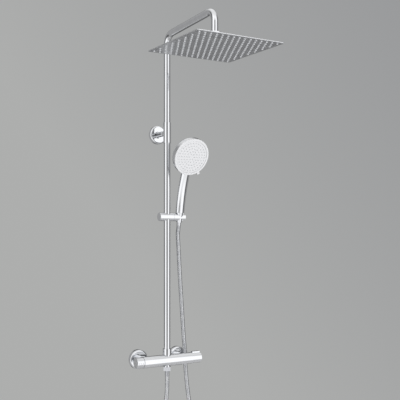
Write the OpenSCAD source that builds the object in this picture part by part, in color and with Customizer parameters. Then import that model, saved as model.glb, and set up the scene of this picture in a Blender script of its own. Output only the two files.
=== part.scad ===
// Thermostatic rain shower set: bar valve, riser, arm with a square rain head, slider, hand shower
// and hose. The wall is the plane y = 0 and the room is on the -y side. The origin is on the wall,
// midway between the two water inlets at the height of the valve's axis.

/* [Valve] */
// Distance from the wall to the axis of the valve and the riser
standoff = 74; // [68:1:84]
// Distance between the axes of the two inlets
inlet_centres = 150; // [140:1:160]
// Diameter of the valve body
body_d = 38; // [36:0.5:44]
// Length of the valve body without its handles
body_len = 184; // [178:1:200]
// Diameter of both handles
handle_d = 35; // [33:0.5:38]
// Length of the flow handle
flow_handle_len = 25.5; // [22:0.5:34]
// Length of the temperature handle
temp_handle_len = 35.5; // [33:0.5:44]
// Bore that holds the thermostat
thermo_bore_d = 28; // [27:0.5:29]
// Depth of the thermostat's bore
thermo_depth = 62; // [60:1:66]
// Bore that holds the diverter
divert_bore_d = 24; // [23:0.5:24.5]
// Depth of the diverter's bore
divert_depth = 52; // [50:1:56]
// Wall of the two cartridge housings
housing_wall = 2.5; // [2:0.1:3]
// Diameter of the temperature spindle
temp_spindle_d = 10; // [9:0.5:11]
// Diameter of the flow spindle
flow_spindle_d = 8; // [7:0.5:9]
// Height of the temperature handle's fin above the handle
fin_h = 4.5; // [4:0.5:11]
// Width of the fin
fin_w = 10; // [8:0.5:13]
// Travel of the safety button
button_travel = 2; // [1:0.1:2.5]

/* [Inlets] */
// Diameter of the wall flanges
flange_d = 66; // [58:1:72]
// Depth of the wall flanges
flange_depth = 16; // [12:0.5:18]
// Outer diameter of the pipe thread in the wall and on the hose, G 1/2
thread_d = 20.95; // [20.9:0.01:21]
// Length of the thread that goes into the wall
wall_thread_len = 14; // [10:1:20]
// Outer diameter of the union's nose, G 3/4
nose_d = 26.4; // [26.3:0.05:26.5]
// Width of the inlet nuts across their flats
inlet_nut_af = 29.5; // [29:0.5:30]
// Length of the inlet nuts
inlet_nut_len = 14.5; // [13:0.5:15]

/* [Riser] */
// Outer diameter of the riser and the arm
pipe_d = 22; // [20:0.5:24]
// Wall of the riser and the arm
pipe_wall = 1.2; // [1:0.1:1.5]
// Height at which the lower riser ends in the wall bracket
bracket_z = 766; // [700:1:800]
// Length of the bracket's sleeve
sleeve_len = 69; // [55:1:80]
// Wall of the bracket's sleeve
sleeve_wall = 1.6; // [1.4:0.1:2.2]
// Diameter of the bracket's post
post_d = 18; // [15:0.5:19]
// Diameter of the bracket's rosette
rosette_d = 62; // [56:1:70]
// Depth of the bracket's rosette
rosette_depth = 14; // [11:0.5:16]
// Distance between the bracket's wall screws
bracket_screw_pitch = 36; // [34:1:38]

/* [Arm] */
// Height of the arm's axis above the riser
arm_z = 1094; // [1060:1:1130]
// Distance from the riser's axis to the axis of the drop
arm_reach = 301; // [280:1:340]
// Rise of the arm from the riser to the drop
arm_rise = 14; // [6:1:20]
// Radius of both bends, at the axis
bend_r = 35; // [33:1:45]

/* [Rain head] */
// Side of the square head
head_size = 300; // [260:1:320]
// Height of the head's underside
head_z = 991; // [985:1:1000]
// Thickness of each of the head's two sheets
sheet_t = 1.2; // [1:0.1:1.5]
// Height of the head at its raised middle
head_h = 4.6; // [4.4:0.2:9]
// Width of the flat rim round the raised middle
head_rim = 9; // [7:0.5:11]
// Distance from the edge to the first row of nozzles
nozzle_margin = 15; // [14:0.5:20]
// Number of rows of nozzles
nozzle_rows = 15; // [11:2:17]
// Outer diameter of a nozzle
nozzle_d = 5.6; // [4:0.2:7]
// Length of a nozzle under the face
nozzle_out = 2; // [1:0.1:2.5]
// Diameter of the head's ball
ball_d = 18; // [16:0.5:19]
// Height of the ball's centre above the head
ball_drop = 19.4; // [17:0.2:22]
// Diameter of the ball nut
ball_nut_d = 29; // [28:0.5:31]

/* [Slider and hand shower] */
// Height of the slider's axis
slider_z = 483; // [430:1:500]
// Diameter of the slider and the holder
slider_d = 28; // [28:0.5:31]
// Distance from the riser's axis to the left end of the slider
slider_left = 31; // [28:1:36]
// Distance from the riser's axis to the joint of slider and holder
slider_joint = 21; // [20:0.5:23]
// Distance from the riser's axis to the right end of the holder
holder_right = 65; // [64:0.5:70]
// Distance from the riser's axis to the axis of the hand shower
cone_x = 46; // [45:0.5:47]
// Distance from the riser's axis to the cone's centre, into the room
cone_out = 3; // [2:0.5:4]
// Lean of the hand shower's handle at the holder
cone_lean = 11; // [8:0.5:13]
// Radius of the cone nut at its top
cone_top_r = 11.9; // [11.7:0.1:12.1]
// Radius of the cone nut at its foot
cone_foot_r = 9.6; // [9.2:0.1:9.9]
// Diameter of the hand shower's head
spray_d = 126; // [110:1:140]
// Thickness of the hand shower's head
spray_t = 28; // [26:1:32]
// Height of the spray's centre above the slider's axis
spray_rise = 196; // [192:1:204]
// Distance from the riser's axis to the spray's centre
spray_out = 87; // [84:1:92]
// Angle of the spray below the horizontal
spray_dip = 24; // [20:1:28]
// Width of the handle
handle_w = 31; // [27:0.5:33]
// Depth of the handle
handle_depth = 24; // [22:0.5:26]
// Radius of the handle's bend
handle_bend_r = 480; // [380:10:560]
// Outer diameter of the hose
hose_d = 14; // [13:0.1:14.4]
// Bore of the hose
hose_bore = 8; // [6:0.1:8.5]
// Number of ribs on the hose
hose_ribs = 190; // [120:1:200]

/* [Hidden] */
$fn = 64;
eps = 0.01;

// Clearances
running = 0.05;
fit = 0.15;
curved_gap = 0.3;

// Frames of the valve's axis, of the arm's plane and of the cone
module at_axis() translate([0, -standoff, 0]) children();
module along_x(x) translate([x, 0, 0]) rotate([0, 90, 0]) children();
module along_y(y) translate([0, y, 0]) rotate([-90, 0, 0]) children();
module at_inlets() for (s = [-1, 1]) translate([s * inlet_centres / 2, 0, 0]) children();
module at_cone() translate([cone_x, -standoff - cone_out, slider_z]) rotate([cone_lean, 0, 0]) children();

module ring(d_out, d_in, h) difference() {
    cylinder(d = d_out, h = h);
    translate([0, 0, -1]) cylinder(d = d_in, h = h + 2);
}
module hexagon(af, h) cylinder(d = af / cos(30), h = h, $fn = 6);

// A tube swept along points p, with one radius for each ring and n sides
function unit(v) = v / norm(v);
function heading(p, i) = unit(p[min(i + 1, len(p) - 1)] - p[max(i - 1, 0)]);
function side_of(d) = unit(cross(d, [0, 1, 0]));
function sweep_ring(p, i, r, n) = let (d = heading(p, i), a = side_of(d), b = cross(d, a))
    [for (k = [0:n - 1]) p[i] + r * (cos(360 * k / n) * a + sin(360 * k / n) * b)];
function wall_faces(start, rings, n, flip) = [for (i = [0:rings - 2], k = [0:n - 1])
    let (a = start + i * n + k, b = start + i * n + (k + 1) % n, c = b + n, d = a + n)
    each flip ? [[a, b, c], [a, c, d]] : [[a, c, b], [a, d, c]]];

// Valve body
socket_wall = 1.3;
socket_d = pipe_d + 2 * fit;
socket_out_d = socket_d + 2 * socket_wall;
socket_top = 30;
socket_floor = 14;
channel_d = 4.4;
channel_r = body_d / 2 - 3.4;
port_d = 5;
port_r = 6.3;
tail_d = 22;
tail_collar_d = nose_d - 0.4;
tail_bore_d = 16;
nut_start = standoff - body_d / 2 - inlet_nut_len - 0.5;
nut_end = nut_start + inlet_nut_len;
nose_start = flange_depth - 4;
nose_end = nut_start + 7.5;
washer_t = 1.2;
collar_t = 3;
tail_end = nose_end + washer_t;
thermo_x = body_len / 2 - thermo_depth;
divert_x = -body_len / 2 + divert_depth;
outlet_bore_d = 14;
outlet_top = -12;

module valve_body() color("silver") at_axis() difference() {
    union() {
        along_x(-body_len / 2) cylinder(d = body_d, h = body_len);
        cylinder(d = socket_out_d, h = socket_top);
        at_inlets() along_y(0) cylinder(d = tail_d, h = standoff - tail_end);
        at_inlets() along_y(standoff - tail_end - collar_t) cylinder(d = tail_collar_d, h = collar_t);
    }
    along_x(thermo_x) cylinder(d = thermo_bore_d, h = thermo_depth + 1);
    along_x(-body_len / 2 - 1) cylinder(d = divert_bore_d, h = divert_depth + 1);
    translate([0, 0, socket_floor]) cylinder(d = socket_d, h = socket_top);
    translate([0, 0, port_r]) cylinder(d = outlet_bore_d, h = socket_floor);
    translate([0, 0, -body_d]) cylinder(d = outlet_bore_d, h = body_d - port_r);
    translate([0, 0, -body_d]) cylinder(d = thread_d + 2 * running, h = body_d + outlet_top);
    for (s = [-1, 1]) translate([0, 0, s * port_r]) along_x(divert_x - 1) cylinder(d = port_d, h = 2 - divert_x);
    translate([0, -port_r, 0]) along_x(divert_x - 1) cylinder(d = port_d, h = thermo_x - divert_x + 2);
    translate([0, channel_r, 0]) along_x(-inlet_centres / 2) cylinder(d = channel_d, h = thermo_x + inlet_centres / 2 + 14);
    translate([thermo_x + 12, 0, 0]) along_y(0) cylinder(d = channel_d, h = channel_r);
    translate([inlet_centres / 2, 0, 0]) along_y(0) cylinder(d = tail_bore_d, h = standoff);
    translate([-inlet_centres / 2, 0, 0]) along_y(divert_bore_d / 2 + 2) cylinder(d = tail_bore_d, h = standoff);
}

// Inlets: the straight unions screw into the wall, the nuts pull the valve onto them
module wall_unions() color("silver") at_inlets() rotate([90, 0, 0]) difference() {
    union() {
        translate([0, 0, -wall_thread_len]) cylinder(d = thread_d, h = wall_thread_len + 5);
        translate([0, 0, 4]) hexagon(24, nose_start - 4);
        translate([0, 0, nose_start]) cylinder(d = nose_d, h = nose_end - nose_start);
    }
    translate([0, 0, -wall_thread_len - 1]) cylinder(d = 14, h = wall_thread_len + nose_end + 2);
}

flange_round = 5;
flange_wall = 1.4;
module flange_profile(d, h, r, hole) difference() {
    union() {
        square([d / 2 - r, h]);
        square([d / 2, h - r]);
        translate([d / 2 - r, h - r]) circle(r = r);
    }
    if (hole > 0) translate([0, -1]) square([hole / 2, h + 2]);
}
module cup(d, h, r, hole, wall) rotate_extrude() difference() {
    flange_profile(d, h, r, hole);
    translate([0, -eps]) flange_profile(d - 2 * wall, h - wall + eps, r - wall, 0);
}
module wall_flanges() color("silver") at_inlets() rotate([90, 0, 0])
    cup(flange_d, flange_depth, flange_round, nose_d + 2 * fit, flange_wall);

module inlet_nuts() color("silver") at_inlets() rotate([90, 0, 0]) translate([0, 0, nut_start]) difference() {
    intersection() {
        hexagon(inlet_nut_af, inlet_nut_len);
        translate([0, 0, -1]) cylinder(d = inlet_nut_af * 1.1, h = inlet_nut_len + 2);
    }
    translate([0, 0, -1]) cylinder(d = tail_d + 2 * fit, h = inlet_nut_len + 2);
    translate([0, 0, -1]) cylinder(d = nose_d + 2 * running, h = nose_end - nut_start + washer_t + collar_t + 1);
}

module inlet_washers() color("dimgray") at_inlets() rotate([90, 0, 0])
    translate([0, 0, nose_end]) ring(nose_d - 0.6, tail_bore_d - 1, washer_t);

check_len = 9;
module check_valves() color("white") at_inlets() rotate([90, 0, 0]) translate([0, 0, tail_end]) {
    ring(tail_bore_d - 2 * running, 10, check_len);
    translate([0, 0, check_len]) ring(tail_bore_d - 2 * running, 5, 1);
    translate([0, 0, check_len - 3]) cylinder(d = 10 - 2 * fit, h = 2.9);
}

// Thermostat: the housing sits in the right bore, the wax element pushes the piston against its spring
body_end = body_len / 2;
thermo_out_d = thermo_bore_d - 2 * fit;
thermo_in_d = thermo_out_d - 2 * housing_wall;
thermo_wall_x = body_end - 12;
piston_x = thermo_x + 12;
piston_len = 10;
wax_d = 12;
wax_len = 20;
wax_pin_d = 4;
wax_pin_len = 9;
spindle_head_x = piston_x + wax_len + wax_pin_len - 2;
spindle_head_d = 16;
handle_gap = 0.5;
handle_x = body_end + handle_gap;
skirt = 1.5;

module spring(r, wire, len, turns) {
    steps = turns * 8;
    path = [for (i = [0:steps]) [r * cos(45 * i), r * sin(45 * i), wire / 2 + (len - wire) * i / steps]];
    points = [for (i = [0:steps]) let (o = unit([cos(45 * i), sin(45 * i), 0]), c = path[i])
        each [for (k = [0:5]) c + wire / 2 * (cos(60 * k) * o + sin(60 * k) * [0, 0, 1])]];
    start = [[5, 4, 3, 2, 1, 0]];
    last = [[for (k = [0:5]) steps * 6 + k]];
    sides = [for (i = [0:steps - 1], k = [0:5]) let (a = i * 6 + k, b = i * 6 + (k + 1) % 6)
        each [[a, b, b + 6], [a, b + 6, a + 6]]];
    mirror([0, 1, 0]) polyhedron(points = points, faces = concat(start, sides, last), convexity = 8);
}

module thermostat_housing() color("white") at_axis() difference() {
    along_x(thermo_x + 0.2) cylinder(d = thermo_out_d, h = body_end - thermo_x - 0.2);
    along_x(thermo_x) cylinder(d = thermo_in_d, h = thermo_wall_x - thermo_x);
    along_x(thermo_wall_x - 1) cylinder(d = temp_spindle_d + 2 * running, h = body_end);
    translate([thermo_x + 12, 0, 0]) along_y(0) cylinder(d = channel_d + 2, h = thermo_bore_d);
    translate([inlet_centres / 2, 0, 0]) along_y(0) cylinder(d = 10, h = thermo_bore_d);
}
module mixing_piston() color("goldenrod") at_axis() along_x(piston_x)
    ring(thermo_in_d - 2 * running, wax_d + 2 * running, piston_len);
module wax_element() color("peru") at_axis() along_x(piston_x) {
    cylinder(d = wax_d, h = wax_len);
    cylinder(d = wax_pin_d, h = wax_len + wax_pin_len);
}
module return_spring() color("silver") at_axis() along_x(thermo_x + 0.3) spring(8, 1.4, 9.5, 4);
module temperature_spindle() color("white") at_axis() difference() {
    union() {
        along_x(spindle_head_x) cylinder(d = spindle_head_d, h = thermo_wall_x - 0.2 - spindle_head_x);
        along_x(spindle_head_x) cylinder(d = temp_spindle_d, h = handle_x + temp_hub - running - spindle_head_x);
    }
    along_x(spindle_head_x - 1) cylinder(d = wax_pin_d + 0.4, h = 7);
    along_x(handle_x + temp_hub - 9) cylinder(d = screw_d + 2 * running, h = 10);
}

// Handles: a skirt round the valve's end, a web with the spindle's bore and a recess under the cap
handle_bore_d = 27;
cap_t = 3;
screw_d = 4;
screw_head_d = 7.5;
screw_head_h = 3;
temp_hub = 11;
flow_hub = 9;
web_rest = 3;

module handle(len, hub, spindle_d) difference() {
    union() {
        cylinder(d = handle_d, h = len - 1);
        cylinder(d = handle_d - 2, h = len);
        translate([0, 0, len - 1]) rotate_extrude() translate([handle_d / 2 - 1, 0]) circle(r = 1);
    }
    translate([0, 0, -1]) cylinder(d = handle_d - 6, h = skirt + 1);
    cylinder(d = spindle_d + 2 * running, h = hub);
    cylinder(d = screw_d + 0.4, h = len);
    translate([0, 0, hub + web_rest]) cylinder(d = handle_bore_d, h = len);
}
module handle_screw(hub) {
    translate([0, 0, hub - 8]) cylinder(d = screw_d, h = 8 + web_rest + 1);
    translate([0, 0, hub + web_rest]) difference() {
        cylinder(d = screw_head_d, h = screw_head_h);
        translate([0, 0, 1.2]) cylinder(d = 3, h = screw_head_h, $fn = 6);
    }
}
module handle_cap(len) translate([0, 0, len - cap_t]) {
    cylinder(d = handle_bore_d - 2 * fit, h = cap_t - 0.5);
    cylinder(d = handle_bore_d - 2, h = cap_t);
}

// The fin runs along the top of the temperature handle, and its inner end is the safety button
fin_start = 3;
button_len = 9;
fin_len = temp_handle_len - fin_start - 3;
button_depth = 4.5;
button_floor = 9;
fin_top = handle_d / 2 + fin_h;
module fin_bar(x, len, w, z0, z1) translate([x, -w / 2, z0]) cube([len, w, z1 - z0]);

module temperature_handle() color("silver") at_axis() translate([handle_x, 0, 0]) difference() {
    union() {
        along_x(0) handle(temp_handle_len, temp_hub, temp_spindle_d);
        difference() {
            fin_bar(fin_start + button_len + fit, fin_len - button_len - fit, fin_w, handle_bore_d / 2 + 1, fin_top);
            translate([fin_start + fin_len, fin_w, fin_top]) rotate([90, 45, 0]) cube([3, 3, 2 * fin_w]);
        }
    }
    fin_bar(fin_start - fit, button_len + 2 * fit, fin_w + 2 * fit, handle_d / 2 - button_floor, fin_top + 1);
}
module temperature_screw() color("silver") at_axis() along_x(handle_x) handle_screw(temp_hub);
module temperature_cap() color("silver") at_axis() along_x(handle_x) handle_cap(temp_handle_len);
module safety_button() color("silver") at_axis() translate([handle_x, 0, 0])
    fin_bar(fin_start, button_len, fin_w, handle_d / 2 - button_depth, fin_top);
module button_spring() color("silver") at_axis()
    translate([handle_x + fin_start + button_len / 2, 0, handle_d / 2 - button_floor])
    spring(2.5, 0.8, button_floor - button_depth, 4);

// Diverter: two ceramic discs in the left bore, the inner one fixed, the outer one turned by the spindle
divert_out_d = divert_bore_d - 2 * fit;
divert_in_d = divert_out_d - 2 * housing_wall;
disc_t = 4.9;
disc_gap = 0.1;
divert_floor = body_end - divert_depth;
disc_x = divert_floor + disc_gap;
turn_x = disc_x + disc_t + disc_gap;
dog_x = turn_x + 4;
dog_t = 3.5;
divert_wall_x = dog_x + dog_t + 0.5;
module at_left() at_axis() mirror([1, 0, 0]) children();

module diverter_housing() color("white") at_left() difference() {
    along_x(disc_x + disc_t) cylinder(d = divert_out_d, h = body_end - disc_x - disc_t);
    along_x(disc_x + disc_t - 1) cylinder(d = divert_in_d, h = divert_wall_x - disc_x - disc_t + 1);
    along_x(disc_x) cylinder(d = flow_spindle_d + 2 * running, h = body_end);
}
module fixed_disc() color("white") at_left() difference() {
    along_x(disc_x) cylinder(d = divert_out_d, h = disc_t);
    for (s = [-1, 1]) translate([0, 0, s * port_r]) along_x(disc_x - 1) cylinder(d = port_d, h = disc_t + 2);
    translate([0, -port_r, 0]) along_x(disc_x - 1) cylinder(d = port_d, h = disc_t + 2);
}
module turning_disc() color("white") at_left() difference() {
    along_x(turn_x) cylinder(d = divert_in_d - 2 * fit, h = dog_x - turn_x);
    translate([0, -port_r + 1, 0]) along_x(turn_x - 1) cylinder(d = port_d, h = dog_x - turn_x + 2);
    translate([0, port_r - 1, 0]) along_x(dog_x - 2) cylinder(d = 3 + 2 * running, h = 3);
}
module flow_spindle() color("goldenrod") at_left() difference() {
    union() {
        along_x(dog_x + running) cylinder(d = divert_in_d - 2, h = dog_t);
        translate([0, port_r - 1, 0]) along_x(dog_x - 1.8) cylinder(d = 3, h = 3);
        along_x(dog_x + running) cylinder(d = flow_spindle_d, h = handle_x + flow_hub - 2 * running - dog_x);
    }
    along_x(handle_x + flow_hub - 9) cylinder(d = screw_d + 2 * running, h = 10);
}

// Three finger notches run round the lower front of the flow handle
notch_r = 1.3;
notch_first = 5;
notch_pitch = 7;
module flow_handle() color("silver") at_left() along_x(handle_x) difference() {
    handle(flow_handle_len, flow_hub, flow_spindle_d);
    for (i = [0:2]) translate([0, 0, notch_first + i * notch_pitch])
        rotate([0, 0, -95]) rotate_extrude(angle = 100) translate([handle_d / 2 + 0.3, 0]) circle(r = notch_r);
}
module flow_screw() color("silver") at_left() along_x(handle_x) handle_screw(flow_hub);
module flow_cap() color("silver") at_left() along_x(handle_x) handle_cap(flow_handle_len);

// Riser: its foot stands in the valve's socket, held by the nut
outlet_collar_t = 2;
outlet_collar_z = -body_d / 2 - 0.5 - outlet_collar_t;
outlet_len = 9;
riser_nut_d = socket_out_d + 4;
riser_nut_foot = body_d / 2 + 0.4;
riser_nut_top = 39;
seal_t = 2;
pipe_foot = socket_floor + 1;
pipe_in_d = pipe_d - 2 * pipe_wall;

module hose_outlet() color("silver") at_axis() difference() {
    union() {
        translate([0, 0, outlet_collar_z]) cylinder(d = thread_d, h = outlet_top - outlet_collar_z);
        translate([0, 0, outlet_collar_z]) cylinder(d = thread_d + 3, h = outlet_collar_t);
        translate([0, 0, outlet_collar_z - outlet_len]) cylinder(d = thread_d, h = outlet_len + 1);
    }
    translate([0, 0, outlet_collar_z - outlet_len - 1]) cylinder(d = outlet_bore_d, h = 60);
}
module riser_nut() color("silver") at_axis() translate([0, 0, riser_nut_foot]) difference() {
    cylinder(d = riser_nut_d, h = riser_nut_top - riser_nut_foot);
    translate([0, 0, -1]) cylinder(d = pipe_d + 2 * fit, h = riser_nut_top);
    translate([0, 0, -1]) cylinder(d = socket_out_d + 2 * running, h = socket_top + seal_t + 1 - riser_nut_foot);
}
module riser_seal() color("dimgray") at_axis() translate([0, 0, socket_top])
    ring(socket_out_d, pipe_d + 2 * running, seal_t);
module lower_riser() color("silver") at_axis() translate([0, 0, pipe_foot])
    ring(pipe_d, pipe_in_d, bracket_z - pipe_foot);
insert_len = 50;
module coupling_insert() color("goldenrod") at_axis() translate([0, 0, bracket_z - insert_len / 2])
    ring(pipe_in_d - 2 * running, pipe_in_d - 4, insert_len);

// Wall bracket: the sleeve holds the lower riser and carries the arm's foot, its post sits in the base
sleeve_in_d = pipe_d + 2 * fit;
sleeve_d = sleeve_in_d + 2 * sleeve_wall;
post_gap = 8;
neck_d = post_d + 6;
neck_len = 20;
base_t = 5;
base_d = bracket_screw_pitch + 14;
grub_d = 5;
screw_reach = 35;
screw_thread_d = 4.5;
screw_thread_top = 1;
screw_shank_d = 4;
module at_bracket() translate([0, 0, bracket_z]) children();

module bracket_sleeve() color("silver") at_bracket() difference() {
    union() {
        translate([0, -standoff, -sleeve_len / 2]) cylinder(d = sleeve_d, h = sleeve_len);
        along_y(-standoff) cylinder(d = post_d, h = standoff - post_gap);
    }
    translate([0, -standoff, -sleeve_len]) cylinder(d = sleeve_in_d, h = 2 * sleeve_len);
}
module bracket_base() color("silver") at_bracket() rotate([90, 0, 0]) difference() {
    union() {
        cylinder(d = base_d, h = base_t);
        cylinder(d = neck_d, h = neck_len);
    }
    translate([0, 0, post_gap - 0.2]) cylinder(d = post_d + 2 * running, h = neck_len);
    for (s = [-1, 1]) translate([0, s * bracket_screw_pitch / 2, -1])
        cylinder(d = screw_thread_d + 0.5, h = base_t + 2);
    translate([0, 0, neck_len - 3.5]) rotate([0, -90, 0]) cylinder(d = grub_d + 2 * running, h = neck_d);
}
module rosette() color("silver") at_bracket() rotate([90, 0, 0])
    cup(rosette_d, rosette_depth, 5, neck_d + 2 * fit, 1.4);
module wall_screws() color("silver") at_bracket() rotate([90, 0, 0])
    for (s = [-1, 1]) translate([0, s * bracket_screw_pitch / 2, 0]) {
        translate([0, 0, -screw_reach]) cylinder(d = screw_thread_d, h = screw_reach - screw_thread_top);
        translate([0, 0, -screw_thread_top - eps]) cylinder(d = screw_shank_d, h = screw_thread_top + base_t + 2 * eps);
        translate([0, 0, base_t]) difference() {
            cylinder(d = 9, h = 3);
            translate([0, 0, 1.5]) cylinder(d = 3.6, h = 3, $fn = 6);
        }
    }
module grub_screw() color("dimgray") at_bracket() rotate([90, 0, 0])
    translate([-post_d / 2 - running, 0, neck_len - 3.5]) rotate([0, -90, 0]) difference() {
        cylinder(d = grub_d, h = 3.2);
        translate([0, 0, 1.5]) cylinder(d = 2.5, h = 3, $fn = 6);
    }

// Arm: one tube, up from the bracket, over a bend, out with a slight rise, and down over a second bend
arm_angle = atan(arm_rise / arm_reach);
arm_run = norm([arm_reach, arm_rise]);
bend_a_cut = bend_r * tan((90 - arm_angle) / 2);
bend_b_cut = bend_r * tan((90 + arm_angle) / 2);
arm_foot = bracket_z + 0.4;
drop_z = arm_z + arm_rise - bend_b_cut;
ball_z = head_z + head_h + ball_drop;
liner_gap = curved_gap;
liner_t = 1.7;
liner_r = ball_d / 2 + liner_gap + liner_t;
cavity_r = liner_r + curved_gap;
arm_washer_z = ball_z + cavity_r;
arm_end = arm_washer_z + washer_t;
arm_thread_len = 12;

module in_arm_plane() at_axis() rotate([90, 0, -90]) children();
// Each bend is let into the walls of the straight lengths by a degree at both ends
bend_let = 1;
bend_skin = 0.06;
module bend(angle) rotate([0, 0, -bend_let]) rotate_extrude(angle = angle + 2 * bend_let)
    translate([bend_r, 0]) difference() {
        circle(d = pipe_d - 2 * bend_skin);
        circle(d = pipe_in_d + 2 * bend_skin);
    }
module shower_arm() color("silver") in_arm_plane() {
    translate([0, arm_foot, 0]) rotate([-90, 0, 0]) ring(pipe_d, pipe_in_d, arm_z - bend_a_cut - arm_foot);
    translate([bend_r, arm_z - bend_a_cut, 0]) rotate([0, 0, 90 + arm_angle]) bend(90 - arm_angle);
    translate([0, arm_z, 0]) rotate([0, 0, arm_angle]) translate([bend_a_cut, 0, 0]) rotate([0, 90, 0])
        ring(pipe_d, pipe_in_d, arm_run - bend_a_cut - bend_b_cut);
    translate([arm_reach - bend_r, drop_z, 0]) bend(90 + arm_angle);
    translate([arm_reach, arm_end, 0]) rotate([-90, 0, 0]) difference() {
        ring(pipe_d, pipe_in_d, drop_z - arm_end);
        translate([0, 0, -1]) ring(pipe_d + 2, thread_d, arm_thread_len + 1);
    }
}

// Ball joint: the nut hangs the ball on the arm's end, and the cup and the liner bear on the ball
nut_lip = 9.5;
nut_mouth_r = 8.2;
neck_r = 4.6;
stem_bore_d = 6;
boss_h = 3;
boss_d = 17;
module at_ball() translate([0, -standoff - arm_reach, ball_z]) children();

// Part of a spherical shell between two heights above the ball's centre
module zone(r_out, r_in, low, high) difference() {
    intersection() {
        sphere(r = r_out);
        translate([0, 0, low]) cylinder(r = r_out + 1, h = high - low);
    }
    sphere(r = r_in);
}
module ball_nut() color("silver") at_ball() difference() {
    union() {
        translate([0, 0, -nut_lip]) cylinder(d = ball_nut_d, h = nut_lip + cavity_r - 2);
        translate([0, 0, -nut_lip + 2]) hexagon(ball_nut_d - 3, nut_lip + cavity_r + washer_t + arm_thread_len - 3);
    }
    sphere(r = cavity_r);
    translate([0, 0, -nut_lip - 1]) cylinder(r = nut_mouth_r, h = nut_lip);
    translate([0, 0, 4]) cylinder(d = thread_d + 2 * running, h = 2 * cavity_r + arm_thread_len);
}
module arm_washer() color("dimgray") translate([0, -standoff - arm_reach, arm_washer_z])
    ring(thread_d, outlet_bore_d, washer_t);
module ball_cup() color("white") at_ball() difference() {
    zone(liner_r, ball_d / 2 + liner_gap, 3.6, liner_r);
    cylinder(r = neck_r, h = liner_r + 1);
}
module ball_liner() color("white") at_ball() zone(liner_r, ball_d / 2 + liner_gap, -4.6, -1);
module ball_stem() color("goldenrod") at_ball() difference() {
    union() {
        sphere(d = ball_d);
        translate([0, 0, -ball_drop - head_h + 2 * sheet_t + mat_t]) cylinder(r = neck_r, h = ball_drop + head_h - 2 * sheet_t - mat_t);
        translate([0, 0, -ball_drop + 0.1]) cylinder(d = boss_d, h = boss_h);
    }
    translate([0, 0, -ball_drop - head_h]) cylinder(d = stem_bore_d, h = 2 * ball_drop + head_h);
}

// Rain head: two sheets, the upper one raised in the middle over the nozzle mat
mat_t = 1.2;
plate_z = head_z + sheet_t;
raised = head_size - 2 * head_rim;
mat_size = raised - 2 * sheet_t - 1;
nozzle_step = (head_size - 2 * nozzle_margin) / (nozzle_rows - 1);
nozzles = [for (i = [0:nozzle_rows - 1]) let (shift = (i % 2) / 2)
    for (j = [0:nozzle_rows - 1 - (i % 2)]) nozzle_step * [j + shift - (nozzle_rows - 1) / 2, i - (nozzle_rows - 1) / 2]];
module at_head(z) translate([0, -standoff - arm_reach, z]) children();

module rounded_square(side, r) {
    square([side - 2 * r, side], center = true);
    square([side, side - 2 * r], center = true);
    for (sx = [-1, 1], sy = [-1, 1]) translate([sx, sy] * (side / 2 - r)) circle(r = r);
}
module head_cover() color("silver") difference() {
    union() {
        at_head(plate_z) linear_extrude(sheet_t) rounded_square(head_size, 4);
        at_head(plate_z) linear_extrude(head_h - sheet_t) rounded_square(raised, 8);
    }
    at_head(plate_z - 1) linear_extrude(head_h - 2 * sheet_t + 1) rounded_square(raised - 2 * sheet_t, 7);
    at_head(plate_z) cylinder(r = neck_r + running, h = head_h);
}
module face_plate() color("darkgray") at_head(head_z) linear_extrude(sheet_t) difference() {
    rounded_square(head_size, 4);
    for (p = nozzles) translate(p) circle(d = nozzle_d + 0.2);
}
module nozzle_mat() color("gainsboro") {
    at_head(plate_z) linear_extrude(mat_t) rounded_square(mat_size, 6);
    at_head(head_z - nozzle_out) linear_extrude(sheet_t + nozzle_out + 1) for (p = nozzles) translate(p) circle(d = nozzle_d);
}

// Slider: bored for the riser, with a pad that grips it and a screw that carries the holder
slider_r = slider_d / 2;
pivot_d = 6;
pivot_head_d = 10;
pad_d = 14;
pad_gap = 0.1;
slider_cap_t = 3;
holder_gap = 0.3;
module at_slider() translate([0, -standoff, slider_z]) children();

module slider_body() color("silver") at_slider() difference() {
    along_x(-slider_left + slider_cap_t) cylinder(r = slider_r, h = slider_left - slider_cap_t + slider_joint);
    translate([0, 0, -slider_r - 1]) cylinder(d = pipe_d + 2 * fit, h = slider_d + 2);
    along_x(-slider_left) cylinder(d = pad_d + 2 * fit, h = slider_left);
    along_x(pipe_d / 2) cylinder(d = pivot_d, h = slider_joint);
}
module friction_pad() color("dimgray") at_slider() difference() {
    along_x(-slider_left + slider_cap_t + running) cylinder(d = pad_d, h = slider_left - slider_cap_t);
    translate([0, 0, -slider_r]) cylinder(d = pipe_d + 2 * pad_gap, h = slider_d);
}
module slider_cap() color("silver") at_slider() along_x(-slider_left) {
    cylinder(r = slider_r - 0.6, h = 1);
    translate([0, 0, 0.6]) cylinder(r = slider_r, h = slider_cap_t - 0.6);
}
module pivot_screw() color("silver") at_slider() {
    along_x(pipe_d / 2 + 1) cylinder(d = pivot_d, h = pivot_head_x - pipe_d / 2);
    along_x(pivot_head_x) difference() {
        cylinder(d = pivot_head_d, h = 2.5);
        translate([0, 0, 1]) cylinder(d = 4, h = 3, $fn = 6);
    }
}

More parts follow.
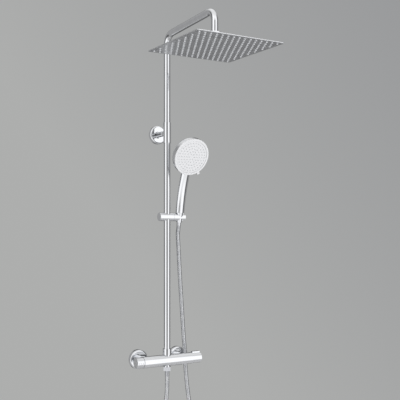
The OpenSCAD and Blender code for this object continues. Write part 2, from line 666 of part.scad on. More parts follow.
// Holder: a cone in a round bar, open at its right end so that the hose passes
cone_r = (cone_top_r + cone_foot_r) / 2;
cone_half = 18;
pivot_head_x = cone_x - cone_top_r - curved_gap - 4.2;
module holder_cone(r0, r1, low, high) translate([0, 0, low]) cylinder(r1 = r0, r2 = r1, h = high - low);
module handset_holder() color("silver") difference() {
    at_slider() along_x(slider_joint + holder_gap) cylinder(r = slider_r, h = holder_right - slider_joint - holder_gap);
    at_cone() holder_cone(cone_foot_r + curved_gap, cone_top_r + curved_gap, -cone_half, cone_half);
    at_cone() translate([0, -hose_d / 2 - 0.5, -2 * slider_r]) cube([holder_right, hose_d + 1, 4 * slider_r]);
    at_slider() along_x(slider_joint) cylinder(d = pivot_d + 2 * running, h = cone_x - slider_joint);
    at_slider() along_x(pivot_head_x - 0.2) cylinder(d = pivot_head_d + 0.6, h = cone_x - pivot_head_x);
}

// Hand shower: the handle is a bent loft from the cone nut into the edge of the round head
handle_start = 15.5;
way_d = 12;
head_wall = 2.5;
head_round = 12;
rim_t = 6;
rim_gap = 0.3;
face_r = spray_d / 2 - 7.5;
face_in = 1;
face_t = 2;
mat_in_t = 2;
skirt_h = 11;
inlet_d = 18;
inlet_len = 18;
dot_d = 3;
dot_step = 9.5;
dots = [for (k = [1:5], i = [0:6 * k - 1]) dot_step * k * [cos(60 / k * i), sin(60 / k * i)]];
tab_angle = -55;
tab_w = 9;
tab_out = 8;

module at_face() translate([cone_x, -standoff - spray_out, slider_z + spray_rise])
    rotate([90 + spray_dip, 0, 0]) children();

// The handle runs along the cone's axis, over a slight bend and along the back of the head
lean_dir = [0, -sin(cone_lean), cos(cone_lean)];
up_dir = [0, -sin(spray_dip), cos(spray_dip)];
out_dir = [0, -cos(spray_dip), -sin(spray_dip)];
cone_centre = [cone_x, -standoff - cone_out, slider_z];
spray_centre = [cone_x, -standoff - spray_out, slider_z + spray_rise];
handle_end = spray_centre - (rim_t + rim_gap + handle_depth / 2) * out_dir - (spray_d / 2 - 25) * up_dir;
turn = spray_dip - cone_lean;
corner_s = cross(handle_end - cone_centre, up_dir)[0] / cross(lean_dir, up_dir)[0];
corner = cone_centre + corner_s * lean_dir;
bend_cut = handle_bend_r * tan(turn / 2);
handle_let = 0.3;

module handle_bar(from, to, lean) translate(from) rotate([lean, 0, 0])
    linear_extrude(norm(to - from)) scale([handle_w / 2, handle_depth / 2]) circle(r = 1, $fn = 32);
module handle_bend() translate([cone_x, -standoff, 0]) rotate([90, 0, -90])
    translate([-standoff - (corner - bend_cut * lean_dir)[1], (corner - bend_cut * lean_dir)[2], 0])
    translate(handle_bend_r * [cos(cone_lean), -sin(cone_lean), 0])
    rotate([0, 0, 180 - spray_dip - handle_let]) rotate_extrude(angle = turn + 2 * handle_let)
    translate([handle_bend_r, 0]) scale([handle_depth / 2 - bend_skin, handle_w / 2 - bend_skin]) circle(r = 1, $fn = 32);
module handle_way() {
    at_cone() translate([0, 0, handle_start - 1]) cylinder(d = way_d, h = corner_s - handle_start + 2);
    translate(corner - up_dir) rotate([spray_dip, 0, 0]) cylinder(d = way_d, h = norm(handle_end - corner) + 1);
}
module head_solid(d, front, back, r) at_face() translate([0, 0, front]) mirror([0, 0, 1])
    rotate_extrude() flange_profile(d, front + back, r, 0);
module handset_shell() color("silver") difference() {
    union() {
        handle_bar(cone_centre + handle_start * lean_dir, corner - bend_cut * lean_dir, cone_lean);
        handle_bend();
        handle_bar(corner + bend_cut * up_dir, handle_end, spray_dip);
        head_solid(spray_d, -rim_t - rim_gap, spray_t, head_round);
    }
    head_solid(spray_d - 2 * head_wall, -rim_t + 1, spray_t - head_wall, head_round - head_wall);
    at_face() translate([0, 0, -rim_t - rim_gap]) cylinder(d = spray_d + 2, h = spray_t);
    handle_way();
    at_cone() translate([0, 0, handle_start - 1]) cylinder(d = inlet_d, h = inlet_len + 1);
}
module handset_inlet() color("silver") at_cone() difference() {
    union() {
        translate([0, 0, handle_start - 10]) cylinder(d = thread_d, h = 9.8);
        translate([0, 0, handle_start - 1]) cylinder(d = inlet_d - 2 * running, h = inlet_len);
    }
    translate([0, 0, handle_start - 11]) cylinder(d = way_d, h = inlet_len + 12);
}
module waterway() color("white") at_face() translate([0, 0, -face_in - face_t - mat_in_t - 4]) difference() {
    union() {
        cylinder(r = face_r - 4.5, h = 2);
        ring(2 * face_r - 9, 2 * face_r - 14, 4);
    }
    for (a = [0:60:300]) rotate([0, 0, a]) translate([dot_step * 2, 0, -1]) cylinder(d = 8, h = 4);
}
module handset_face() color("whitesmoke") at_face() difference() {
    union() {
        translate([0, 0, -face_in - face_t]) cylinder(r = face_r, h = face_t);
        translate([0, 0, -face_in - skirt_h]) ring(2 * face_r, 2 * face_r - 8, skirt_h);
    }
    for (p = dots) translate([p[0], p[1], -face_in - face_t - 1]) cylinder(d = dot_d + 0.2, h = face_t + 2, $fn = 16);
}
module handset_nozzles() color("gray") at_face() {
    translate([0, 0, -face_in - face_t - mat_in_t]) cylinder(r = face_r - 4.5, h = mat_in_t);
    for (p = dots) translate([p[0], p[1], -face_in - face_t - 1]) cylinder(d = dot_d, h = face_t + 2, $fn = 16);
}
module spray_selector() color("silver") at_face() difference() {
    union() {
        translate([0, 0, -rim_t]) cylinder(d = spray_d, h = rim_t - 1);
        translate([0, 0, -rim_t]) cylinder(d = spray_d - 2, h = rim_t);
        rotate([0, 0, tab_angle]) translate([spray_d / 2 - 4, -tab_w / 2, -rim_t]) cube([4 + tab_out, tab_w, rim_t - 1.5]);
    }
    translate([0, 0, -rim_t - 1]) cylinder(r = face_r + curved_gap, h = rim_t + 2);
}

// Hose ends: the cone nut pulls the upper ferrule onto the hand shower, the hex nut the lower one
// onto the valve
cone_nut_low = -18;
cone_nut_high = 15;
washer_low = 3.8;
flange_t = 2;
sleeve_out = hose_d + 0.6;
hose_top = -29;
hex_nut_top = outlet_collar_z - 0.3;
hex_nut_len = 13;
ferrule_z = outlet_collar_z - outlet_len - 1.5;
cone_slope = (cone_top_r - cone_foot_r) / (2 * cone_half);
function cone_at(s) = cone_foot_r + (s + cone_half) * cone_slope;

module hose_cone_nut() color("silver") at_cone() difference() {
    holder_cone(cone_at(cone_nut_low), cone_at(cone_nut_high), cone_nut_low, cone_nut_high);
    translate([0, 0, washer_low - flange_t - 0.2]) cylinder(d = thread_d + 2 * running, h = cone_nut_high);
    translate([0, 0, cone_nut_low - 1]) cylinder(d = sleeve_out + 2 * fit, h = cone_nut_high - cone_nut_low);
}
module ferrule(low) difference() {
    union() {
        cylinder(d = thread_d - 1, h = flange_t);
        translate([0, 0, -low]) cylinder(d = sleeve_out, h = low + 1);
    }
    translate([0, 0, -low - 1]) cylinder(d = hose_bore, h = low + flange_t + 2);
}
module upper_ferrule() color("silver") at_cone() translate([0, 0, washer_low - flange_t])
    ferrule(washer_low - flange_t - hose_top);
module lower_ferrule() color("silver") at_axis() translate([0, 0, ferrule_z - flange_t])
    ferrule(ferrule_z - flange_t - hose_route[0][2]);
module hose_hex_nut() color("silver") at_axis() translate([0, 0, hex_nut_top - hex_nut_len]) difference() {
    hexagon(thread_d + 2.6, hex_nut_len);
    translate([0, 0, -1]) cylinder(d = sleeve_out + 2 * fit, h = hex_nut_len + 2);
    translate([0, 0, hex_nut_len + ferrule_z - flange_t - hex_nut_top - 0.2])
        cylinder(d = thread_d + 2 * running, h = hex_nut_len);
}

// Hose: from the valve's lower outlet in a loop and up behind the bar to the hand shower
hose_route = [[0, -74, -52], [0, -74, -68], [0, -74, -84], [-1, -73, -115], [-5, -70, -155], [-13, -66, -200],
    [-24, -62, -245], [-32, -57, -300], [-35, -53, -345], [-34, -49, -385], [-23, -46, -427],
    [8, -43, -459], [51, -41, -470], [94, -39, -459], [125, -37, -427], [136, -35, -385],
    [135, -33, -330], [129, -31, -270], [120, -30, -205], [110, -29, -145], [103, -28, -90],
    [98, -28, -35], [97, -28, 5], [91, -29, 60], [84, -33, 120], [75, -41, 185], [64, -52, 250],
    [55, -60.5, 318], [51, -63.5, 358], [48.5, -64.5, 392],
    for (back = [32, 16, 0.1]) cone_centre + (hose_top - back) * lean_dir];
hose_sides = 8;
rib_depth = 0.6;
bore_share = 5;

function spline(r, i, t) = let (a = i > 0 ? r[i - 1] : 2 * r[0] - r[1], b = r[i], c = r[i + 1],
    d = i + 2 < len(r) ? r[i + 2] : 2 * c - b)
    (2 * b + (c - a) * t + (2 * a - 5 * b + 4 * c - d) * t * t + (3 * b - a - 3 * c + d) * t * t * t) / 2;
function sum(v, i = 0) = i < len(v) ? v[i] + sum(v, i + 1) : 0;
spans = [for (i = [0:len(hose_route) - 2]) norm(hose_route[i + 1] - hose_route[i])];
rib_step = sum(spans) / (2 * hose_ribs);
function along_route(step) = [for (i = [0:len(spans) - 1]) let (n = max(1, round(spans[i] / step)))
    each [for (j = [0:n - 1]) spline(hose_route, i, j / n)], hose_route[len(hose_route) - 1]];

module hose() color("silver") {
    skin = along_route(rib_step);
    core = along_route(rib_step * bore_share);
    n = hose_sides;
    outer = [for (i = [0:len(skin) - 1]) let (crest = i % 2 == 0) each sweep_ring(skin, i, hose_d / 2 - (crest ? 0 : rib_depth), n)];
    inner = [for (i = [0:len(core) - 1]) each sweep_ring(core, i, hose_bore / 2, n)];
    s = len(outer);
    last_o = s - n;
    last_i = s + len(inner) - n;
    foot = [for (k = [0:n - 1]) let (m = (k + 1) % n) each [[k, m, s + m], [k, s + m, s + k]]];
    top = [for (k = [0:n - 1]) let (m = (k + 1) % n)
        each [[last_o + m, last_o + k, last_i + k], [last_o + m, last_i + k, last_i + m]]];
    polyhedron(points = concat(outer, inner), convexity = 10,
        faces = concat(wall_faces(0, len(skin), n, false), wall_faces(s, len(core), n, true), foot, top));
    gaps = [for (i = [0:len(core) - 1], j = [i + 8:1:len(core) - 1]) norm(core[i] - core[j]) - hose_d];
    echo(str("Least gap of the hose to itself, mm: ", min(gaps)));
}

valve_body();
wall_unions();
wall_flanges();
inlet_nuts();
inlet_washers();
check_valves();
thermostat_housing();
mixing_piston();
wax_element();
return_spring();
temperature_spindle();
temperature_handle();
temperature_screw();
temperature_cap();
safety_button();
button_spring();
diverter_housing();
fixed_disc();
turning_disc();
flow_spindle();
flow_handle();
flow_screw();
flow_cap();
hose_outlet();
riser_nut();
riser_seal();
lower_riser();
coupling_insert();
bracket_sleeve();
bracket_base();
rosette();
wall_screws();
grub_screw();
shower_arm();
ball_nut();
arm_washer();
ball_cup();
ball_liner();
ball_stem();
head_cover();
face_plate();
nozzle_mat();
slider_body();
friction_pad();
slider_cap();
pivot_screw();
handset_holder();
handset_shell();
handset_inlet();
waterway();
handset_face();
handset_nozzles();
spray_selector();
hose_cone_nut();
upper_ferrule();
lower_ferrule();
hose();
hose_hex_nut();
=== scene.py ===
import math

import bmesh
import bpy
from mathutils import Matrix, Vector


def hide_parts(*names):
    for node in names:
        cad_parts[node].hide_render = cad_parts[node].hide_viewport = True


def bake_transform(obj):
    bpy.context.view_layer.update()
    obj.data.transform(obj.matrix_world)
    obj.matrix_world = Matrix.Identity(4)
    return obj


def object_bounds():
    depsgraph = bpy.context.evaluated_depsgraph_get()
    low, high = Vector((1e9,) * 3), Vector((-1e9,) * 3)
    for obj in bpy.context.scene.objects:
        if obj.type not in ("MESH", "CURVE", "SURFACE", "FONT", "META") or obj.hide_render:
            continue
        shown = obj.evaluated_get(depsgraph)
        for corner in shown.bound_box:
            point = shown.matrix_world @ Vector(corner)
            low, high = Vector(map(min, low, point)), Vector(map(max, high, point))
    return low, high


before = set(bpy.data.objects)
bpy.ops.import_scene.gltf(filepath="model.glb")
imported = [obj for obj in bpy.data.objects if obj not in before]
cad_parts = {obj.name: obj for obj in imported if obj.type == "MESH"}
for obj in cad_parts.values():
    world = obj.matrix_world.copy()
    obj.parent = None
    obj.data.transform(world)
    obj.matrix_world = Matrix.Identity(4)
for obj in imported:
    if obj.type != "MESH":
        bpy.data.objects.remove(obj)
cad_low, cad_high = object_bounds()
bpy.ops.object.select_all(action="DESELECT")

# The camera stands to the left of the shower, a little below the middle of the riser.
# It looks level at the wall, with the frame shifted up to take in the rain head.
level_gaze = math.radians(90)
turned_right = math.radians(-31.1)
eye = bpy.data.objects.new("eye", bpy.data.cameras.new("eye"))
eye.location = (-1.2264, -2.3216, 0.432)
eye.rotation_euler = (level_gaze, 0, turned_right)
eye.data.lens = 68.31
eye.data.sensor_width = 36
eye.data.shift_y = 0.08
bpy.context.scene.collection.objects.link(eye)
bpy.context.scene.camera = eye

# The hose is a double-lock steel spiral, 14 mm thick and 1.5 m long over its two fittings.
# It drops from the outlet under the valve, turns in one hanging loop and climbs to the hand shower.
# Its route and its ribs are in millimetres.
hose_route = [
    (0, -74, -52), (0, -74, -68), (0, -74, -84), (-1, -73, -115), (-5, -70, -155),
    (-13, -66, -200), (-24, -62, -245), (-32, -57, -300), (-35, -53, -345),
    (-34, -49, -385), (-23, -46, -427), (8, -43, -459), (51, -41, -470),
    (94, -39, -459), (125, -37, -427), (136, -35, -385), (135, -33, -330),
    (129, -31, -270), (120, -30, -205), (110, -29, -145), (103, -28, -90),
    (98, -28, -35), (97, -28, 5), (91, -29, 60), (84, -33, 120), (75, -41, 185),
    (64, -52, 250), (55, -60.5, 318), (51, -63.5, 358), (48.5, -64.5, 392),
]
cone_seat = Vector((46, -77, 483))
cone_axis = Vector((0, -0.190809, 0.981627))
cone_nut_reach = 29
straight_end = (32, 16, 0.1)
hose_points = [Vector(p) for p in hose_route]
hose_points += [cone_seat + (-cone_nut_reach - back) * cone_axis for back in straight_end]
hose_sides = 20
line_steps = 24
rib_pitch = 2.4
rib_profile = ((0, 6.45), (0.18, 6.9), (0.36, 7.0), (0.66, 7.0), (0.84, 6.9))
mm_per_m = 1000


def smooth_line(points):
    ends = [2 * points[0] - points[1]] + points + [2 * points[-1] - points[-2]]
    line = []
    for a, b, c, d in zip(ends, ends[1:], ends[2:], ends[3:]):
        for step in range(line_steps):
            t = step / line_steps
            line.append(0.5 * (2 * b + (c - a) * t + (2 * a - 5 * b + 4 * c - d) * t * t
                               + (3 * b - 3 * c + d - a) * t ** 3))
    return line + [points[-1]]


def along(line, spots):
    found, gone, k = [], 0.0, 0
    for spot in spots:
        while k < len(line) - 2 and gone + (line[k + 1] - line[k]).length < spot:
            gone += (line[k + 1] - line[k]).length
            k += 1
        step = line[k + 1] - line[k]
        found.append((line[k] + step * ((spot - gone) / step.length), step.normalized()))
    return found


def length_of(line):
    return sum((b - a).length for a, b in zip(line, line[1:]))


hose_line = smooth_line(hose_points)
hose_length = length_of(hose_line)
rib_step = hose_length / round(hose_length / rib_pitch)


def hose_piece(name, first, last):
    spots = [(rib, share, r) for rib in range(first, last) for share, r in rib_profile]
    rings = along(hose_line, [(rib + share) * rib_step for rib, share, r in spots]
                  + [last * rib_step])
    radii = [r for rib, share, r in spots] + [rib_profile[0][1]]
    turns = [2 * math.pi * k / hose_sides for k in range(hose_sides)]
    shape = bmesh.new()
    side = Vector((1, 0, 0))
    before = None
    for (centre, way), r in zip(rings, radii):
        side = (side - way * side.dot(way)).normalized()
        other = way.cross(side)
        ring = [shape.verts.new(
            (centre + r * (math.cos(a) * side + math.sin(a) * other)) / mm_per_m) for a in turns]
        if before:
            for k in range(hose_sides):
                n = (k + 1) % hose_sides
                shape.faces.new((before[k], before[n], ring[n], ring[k])).smooth = True
        else:
            shape.faces.new(ring[::-1])
        before = ring
    shape.faces.new(before)
    shape.normal_update()
    mesh = bpy.data.meshes.new(name)
    shape.to_mesh(mesh)
    shape.free()
    piece = bpy.data.objects.new(name, mesh)
    bpy.context.scene.collection.objects.link(piece)
    return piece, [centre / mm_per_m for centre, way in rings]


# Every finish is mottled a little by a cloud that stays with its piece: the cloud varies the tint
# and the roughness between two close values, and can raise a very fine relief.
cloud_low, cloud_high = 0.3, 0.7
relief_share = 0.3


def remap(tree, value, low, high, to_low=0.0, to_high=1.0):
    made = tree.nodes.new("ShaderNodeMapRange")
    made.inputs["From Min"].default_value = low
    made.inputs["From Max"].default_value = high
    made.inputs["To Min"].default_value = to_low
    made.inputs["To Max"].default_value = to_high
    tree.links.new(value, made.inputs["Value"])
    return made


def two_tone(tree, value, low, high, first, second):
    made = tree.nodes.new("ShaderNodeValToRGB")
    for stop, position, colour in zip(made.color_ramp.elements, (low, high), (first, second)):
        stop.position = position
        stop.color = (*colour, 1)
    tree.links.new(value, made.inputs["Fac"])
    return made.outputs["Color"]


def metal_finish(name, dark, light, rough, scale, stretch=(1, 1, 1), bump=0.0):
    made = bpy.data.materials.new(name)
    made.use_nodes = True
    tree = made.node_tree
    link = tree.links.new
    shader = tree.nodes["Principled BSDF"]
    shader.inputs["Metallic"].default_value = 1.0
    place = tree.nodes.new("ShaderNodeTexCoord")
    mapping = tree.nodes.new("ShaderNodeMapping")
    mapping.inputs["Scale"].default_value = stretch
    cloud = tree.nodes.new("ShaderNodeTexNoise")
    cloud.inputs["Scale"].default_value = scale
    cloud.inputs["Detail"].default_value = 6
    link(place.outputs["Object"], mapping.inputs["Vector"])
    link(mapping.outputs["Vector"], cloud.inputs["Vector"])
    link(two_tone(tree, cloud.outputs["Fac"], cloud_low, cloud_high, dark, light),
         shader.inputs["Base Color"])
    link(remap(tree, cloud.outputs["Fac"], cloud_low, cloud_high, *rough).outputs["Result"],
         shader.inputs["Roughness"])
    if bump:
        relief = tree.nodes.new("ShaderNodeBump")
        relief.inputs["Strength"].default_value = relief_share
        relief.inputs["Distance"].default_value = bump
        link(cloud.outputs["Fac"], relief.inputs["Height"])
        link(relief.outputs["Normal"], shader.inputs["Normal"])
    return made


# The hose is cut into five pieces at whole ribs, because each can bend with one joint only. Each row
# names a piece, the two bodies it runs between and the fittings at its ends; only the names are used
# here. The first two cuts fall on the left and right sides of the loop, and the last two pieces reach
# the holder and the hand shower, ends straight.
loop_left, loop_right, rise_back, top_back = 297, 640, 330, 90
hose_cuts = [round(spot / rib_step) for spot in
             (0, loop_left, loop_right, hose_length - rise_back, hose_length - top_back,
              hose_length)]
hose_parts = (
    ("hose_drop", "root", "slider", ("lower_ferrule", "hose_hex_nut")),
    ("hose_turn", "root", "slider", ()),
    ("hose_climb", "root", "slider", ()),
    ("hose_rise", "slider", "handset_holder", ()),
    ("hose_top", "handset_holder", "handset", ("upper_ferrule", "hose_cone_nut")),
)
spiral_steel = metal_finish("spiral_steel", (0.54, 0.55, 0.57), (0.68, 0.69, 0.7),
                            rough=(0.24, 0.36), scale=60)
for (name, lower_body, upper_body, fittings), first, last in zip(
        hose_parts, hose_cuts, hose_cuts[1:]):
    piece, centres = hose_piece(name, first, last)
    piece.data.materials.append(spiral_steel)
    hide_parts("hose")
    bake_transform(piece)

# The valve body and everything screwed to it outside is cast or turned brass, polished and chromed.
# The chrome is a mirror with a faint waviness left by the polishing belt.
mirror_chrome = metal_finish("mirror_chrome", (0.74, 0.75, 0.77), (0.82, 0.83, 0.84),
                             rough=(0.04, 0.1), scale=9, bump=0.000004)


def dress(finish, *names):
    for name in names:
        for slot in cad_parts[name].material_slots:
            slot.material = finish


dress(mirror_chrome, "wall_unions", "valve_body", "wall_flanges", "inlet_nuts", "hose_outlet",
      "riser_nut")

# The cartridges inside the valve, the return spring and the screws are never seen in use.
# They are bare turned brass and drawn steel, with the rings of the lathe on them.
turned_brass = metal_finish("turned_brass", (0.55, 0.38, 0.17), (0.72, 0.53, 0.26),
                            rough=(0.22, 0.38), scale=30, stretch=(30, 2, 2), bump=0.00005)
plain_steel = metal_finish("plain_steel", (0.42, 0.42, 0.42), (0.6, 0.6, 0.59),
                           rough=(0.25, 0.4), scale=25, stretch=(3, 3, 20), bump=0.00004)
dress(turned_brass, "thermostat_housing", "mixing_piston", "temperature_spindle",
      "diverter_housing", "flow_spindle", "coupling_insert")
dress(plain_steel, "return_spring", "temperature_screw", "flow_screw", "wall_screws",
      "pivot_screw")

# Washers and seals are black nitrile rubber, the diverter's discs are fired ceramic,
# and the small inner parts are moulded in white acetal. They are smooth, and none is metal.
moulded_ior = 1.5
light_depth = 0.002


def dull_finish(name, dark, light, rough, scale, bump=0.0, through=0.0):
    made = metal_finish(name, dark, light, rough, scale, bump=bump)
    shader = made.node_tree.nodes["Principled BSDF"]
    shader.inputs["Metallic"].default_value = 0.0
    shader.inputs["IOR"].default_value = moulded_ior
    shader.inputs["Subsurface Weight"].default_value = through
    shader.inputs["Subsurface Radius"].default_value = (light_depth, light_depth, light_depth)
    return made


nitrile = dull_finish("nitrile", (0.02, 0.02, 0.021), (0.045, 0.045, 0.047),
                      rough=(0.55, 0.75), scale=400, bump=0.00004)
fired_ceramic = dull_finish("fired_ceramic", (0.72, 0.7, 0.64), (0.86, 0.85, 0.8),
                            rough=(0.12, 0.25), scale=180)
acetal = dull_finish("acetal", (0.7, 0.7, 0.68), (0.8, 0.8, 0.78),
                     rough=(0.35, 0.5), scale=90, bump=0.00002)
dress(nitrile, "inlet_washers", "riser_seal", "arm_washer", "friction_pad")
dress(fired_ceramic, "fixed_disc", "turning_disc")
dress(acetal, "check_valves", "wax_element", "ball_liner", "waterway")

# Both handles are chromed zinc castings, and the button that frees the hot side is chromed plastic.
# Their end caps are pressed in and have a satin face.
satin_chrome = metal_finish("satin_chrome", (0.8, 0.81, 0.82), (0.88, 0.89, 0.9),
                            rough=(0.3, 0.42), scale=40)
dress(mirror_chrome, "temperature_handle", "safety_button", "flow_handle")
dress(satin_chrome, "temperature_cap", "flow_cap")

# The safety button rests on a small coil spring in a pocket of the temperature handle.
# It is wound from the same drawn steel, and it shortens as the button is pressed.
weld_gap = 0.000001
coil = bmesh.new()
coil.from_mesh(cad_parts["button_spring"].data)
bmesh.ops.remove_doubles(coil, verts=coil.verts, dist=weld_gap)
coil_mesh = bpy.data.meshes.new("pressed_spring")
coil.to_mesh(coil_mesh)
coil.free()
coil_mesh.shade_smooth()
coil_mesh.materials.append(plain_steel)
pressed_spring = bpy.data.objects.new("pressed_spring", coil_mesh)
bpy.context.scene.collection.objects.link(pressed_spring)
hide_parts("button_spring")
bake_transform(pressed_spring)

# The riser and the overhead arm are drawn brass tubes, 22 mm thick, polished lengthways and chromed.
# The polish leaves a very fine grain along the tube.
drawn_chrome = metal_finish("drawn_chrome", (0.74, 0.75, 0.77), (0.82, 0.83, 0.84),
                            rough=(0.05, 0.12), scale=14, stretch=(6, 6, 0.5))
dress(drawn_chrome, "lower_riser", "shower_arm")

# The wall bracket is a sleeve on a post, held in a base with a round rosette that hides its screws.
# A blackened grub screw in the base's neck clamps the post.
black_steel = metal_finish("black_steel", (0.03, 0.03, 0.03), (0.06, 0.06, 0.06),
                           rough=(0.3, 0.5), scale=50)
dress(mirror_chrome, "bracket_sleeve", "bracket_base", "rosette")
dress(black_steel, "grub_screw")

# The ball joint of the rain head is turned from solid brass and chromed.
# Its nut, cup and ball stem stand above the plate, and the liner between them stays hidden.
dress(mirror_chrome, "ball_nut", "ball_cup", "ball_stem")

# The rain head is a pressed steel cover folded round a thin steel face plate.
# Both are brushed, and soft silicone nozzles stand through the plate in a square grid.
brushed_sheet = metal_finish("brushed_sheet", (0.66, 0.67, 0.69), (0.8, 0.81, 0.82),
                             rough=(0.34, 0.46), scale=18, stretch=(1, 22, 22), bump=0.00002)
pale_silicone = dull_finish("pale_silicone", (0.74, 0.75, 0.77), (0.84, 0.85, 0.86),
                            rough=(0.4, 0.55), scale=300, bump=0.00003, through=0.2)
dress(brushed_sheet, "head_cover", "face_plate")
dress(pale_silicone, "nozzle_mat")

# The slider grips the riser and carries the hand shower in a forked holder.
# All of it is chromed plastic over a rubber pad.
dress(mirror_chrome, "slider_body", "slider_cap", "handset_holder")

# The hand shower is a chromed plastic shell, with the hose's inlet set into its handle.
# Its spray face is white plastic, and grey silicone nozzles stand through it.
white_face = dull_finish("white_face", (0.82, 0.83, 0.84), (0.88, 0.88, 0.89),
                         rough=(0.22, 0.34), scale=120, bump=0.00001)
grey_silicone = dull_finish("grey_silicone", (0.56, 0.57, 0.58), (0.66, 0.67, 0.68),
                            rough=(0.5, 0.65), scale=300, bump=0.00003, through=0.1)
dress(mirror_chrome, "handset_shell", "handset_inlet")
dress(white_face, "handset_face")
dress(grey_silicone, "handset_nozzles")

# A ring with a small tab turns round the spray face to change the spray.
# It is moulded in white and plated round its rim, so it stays white only where it faces the way
# that the spray does, 24 degrees below the level.
spray_dip = math.radians(24)
spray_way = (0, -math.cos(spray_dip), -math.sin(spray_dip))
rim_turned, front_turned = 0.5, 0.8


def share_along(tree, direction, axis):
    made = tree.nodes.new("ShaderNodeVectorMath")
    made.operation = "DOT_PRODUCT"
    made.inputs[1].default_value = axis
    tree.links.new(direction, made.inputs[0])
    return made.outputs["Value"]


ring_finish = dull_finish("ring_finish", (0.84, 0.85, 0.86), (0.9, 0.9, 0.91),
                          rough=(0.2, 0.3), scale=120)
ring_tree = ring_finish.node_tree
fronting = share_along(ring_tree, ring_tree.nodes["Texture Coordinate"].outputs["Normal"],
                       spray_way)
plated = remap(ring_tree, fronting, rim_turned, front_turned, 1.0, 0.0)
ring_tree.links.new(plated.outputs["Result"],
                    ring_tree.nodes["Principled BSDF"].inputs["Metallic"])
dress(ring_finish, "spray_selector")

# The hose's hexagon nut, cone nut and crimped ferrules are chromed brass.
# The lower two sit under the valve, and their chrome colour is painted darker as painted shade from
# the valve.
shaded_nut_chrome = metal_finish("shaded_nut_chrome", (0.46, 0.47, 0.49), (0.56, 0.57, 0.59),
                          rough=(0.12, 0.22), scale=20)
dress(mirror_chrome, "hose_cone_nut", "upper_ferrule")
dress(shaded_nut_chrome, "hose_hex_nut", "lower_ferrule")

# The floor is a plain pale board under the shower, out of the camera's sight.
# It is there for the other views and for what the chrome mirrors.
floor_drop = 0.21
floor_middle = -0.15
pale_board = dull_finish("pale_board", (0.6, 0.6, 0.6), (0.64, 0.64, 0.64),
                         rough=(0.6, 0.8), scale=4)
bpy.ops.mesh.primitive_plane_add(size=1, location=(0, floor_middle, cad_low.z - floor_drop))
floor = bpy.context.object
floor.name = "floor"
floor.scale = (1.8, 1.3, 1)
bpy.ops.object.transform_apply(location=True, rotation=True, scale=True)
floor.data.materials.append(pale_board)


def soft_box(name, place, watts, aim=(0, -0.1, 0.5), width=0.8, height=2.0):
    lamp = bpy.data.lights.new(name, "AREA")
    lamp.shape = "RECTANGLE"
    lamp.size = width
    lamp.size_y = height
    lamp.energy = watts
    box = bpy.data.objects.new(name, lamp)
    box.location = place
    box.rotation_euler = (Vector(aim) - Vector(place)).to_track_quat("-Z", "Y").to_euler()
    box.visible_glossy = False
    bpy.context.scene.collection.objects.link(box)


# Two large soft boxes light the shower from the left and the right of the camera.
# They don't show in the chrome, which mirrors the room, the floor and the pieces beside it.
soft_box("left_box", (-2.6, -1.6, 1.4), 18)
soft_box("right_box", (1.5, -2.6, 1.2), 16)

room = bpy.data.worlds.new("room")
bpy.context.scene.world = room
room.use_nodes = True
room_tree = room.node_tree
room_tree.nodes.clear()
room_link = room_tree.links.new
ways = room_tree.nodes.new("ShaderNodeTexCoord").outputs["Generated"]

# What the chrome mirrors is a room of upright stripes, bright behind the camera and dark past its
# sides. Towards straight up and straight down they give way to a pale ceiling and a darker ground.
stripe_list = ((0.0, 0.12), (0.06, 0.14), (0.14, 0.4), (0.3, 0.36), (0.42, 0.06), (0.5, 0.05),
               (0.6, 0.6), (0.7, 1.3), (0.88, 1.25), (0.95, 0.9), (0.985, 0.2))
cool_tint = 1.01
behind_camera = (-0.479, -0.878, 0)
steep_from, steep_to = 0.45, 0.95
level_band = 0.3
ground_level, ceiling_level = 0.38, 0.95
bands = remap(room_tree, share_along(room_tree, ways, behind_camera), -1, 1)
stripes = room_tree.nodes.new("ShaderNodeValToRGB")
while len(stripes.color_ramp.elements) < len(stripe_list):
    stripes.color_ramp.elements.new(0.5)
for stop, (position, level) in zip(stripes.color_ramp.elements, stripe_list):
    stop.position = position
    stop.color = (level, level, level * cool_tint, 1)
height = room_tree.nodes.new("ShaderNodeSeparateXYZ")
steep = room_tree.nodes.new("ShaderNodeMath")
steep.operation = "ABSOLUTE"
whole = room_tree.nodes.new("ShaderNodeMix")
whole.data_type = "RGBA"
mirrored = room_tree.nodes.new("ShaderNodeBackground")
room_link(bands.outputs["Result"], stripes.inputs["Fac"])
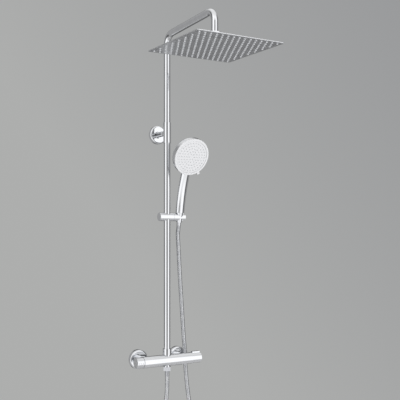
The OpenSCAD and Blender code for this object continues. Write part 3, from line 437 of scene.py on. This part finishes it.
room_link(ways, height.inputs["Vector"])
room_link(height.outputs["Z"], steep.inputs[0])
share = remap(room_tree, steep.outputs["Value"], steep_from, steep_to)
share.interpolation_type = "SMOOTHSTEP"
levels = remap(room_tree, height.outputs["Z"], -level_band, level_band,
               ground_level, ceiling_level)
room_link(share.outputs["Result"], whole.inputs["Factor"])
room_link(stripes.outputs["Color"], whole.inputs["A"])
room_link(levels.outputs["Result"], whole.inputs["B"])
room_link(whole.outputs["Result"], mirrored.inputs["Color"])

# The camera sees a plain grey backdrop that darkens towards the upper right.
# What is neither seen nor mirrored is an even pale grey, which lights the dull pieces.
darkening_way = (0.75, -0.35, 0.6)
darkest_at = 0.6
backdrop_pale, backdrop_dark = (0.42, 0.425, 0.42), (0.29, 0.295, 0.305)
seen = room_tree.nodes.new("ShaderNodeBackground")
room_link(two_tone(room_tree, share_along(room_tree, ways, darkening_way), 0.0, darkest_at,
                   backdrop_pale, backdrop_dark), seen.inputs["Color"])
lit = room_tree.nodes.new("ShaderNodeBackground")
lit.inputs["Color"].default_value = (0.8, 0.8, 0.81, 1)
rays = room_tree.nodes.new("ShaderNodeLightPath")
pick_mirrored = room_tree.nodes.new("ShaderNodeMixShader")
room_link(rays.outputs["Is Glossy Ray"], pick_mirrored.inputs["Fac"])
room_link(lit.outputs["Background"], pick_mirrored.inputs[1])
room_link(mirrored.outputs["Background"], pick_mirrored.inputs[2])
either = room_tree.nodes.new("ShaderNodeMath")
either.operation = "MAXIMUM"
room_link(rays.outputs["Is Camera Ray"], either.inputs[0])
room_link(rays.outputs["Is Transmission Ray"], either.inputs[1])
pick_seen = room_tree.nodes.new("ShaderNodeMixShader")
room_link(either.outputs["Value"], pick_seen.inputs["Fac"])
room_link(pick_mirrored.outputs["Shader"], pick_seen.inputs[1])
room_link(seen.outputs["Background"], pick_seen.inputs[2])
out = room_tree.nodes.new("ShaderNodeOutputWorld")
room_link(pick_seen.outputs["Shader"], out.inputs["Surface"])
bpy.context.scene.view_settings.view_transform = "Standard"
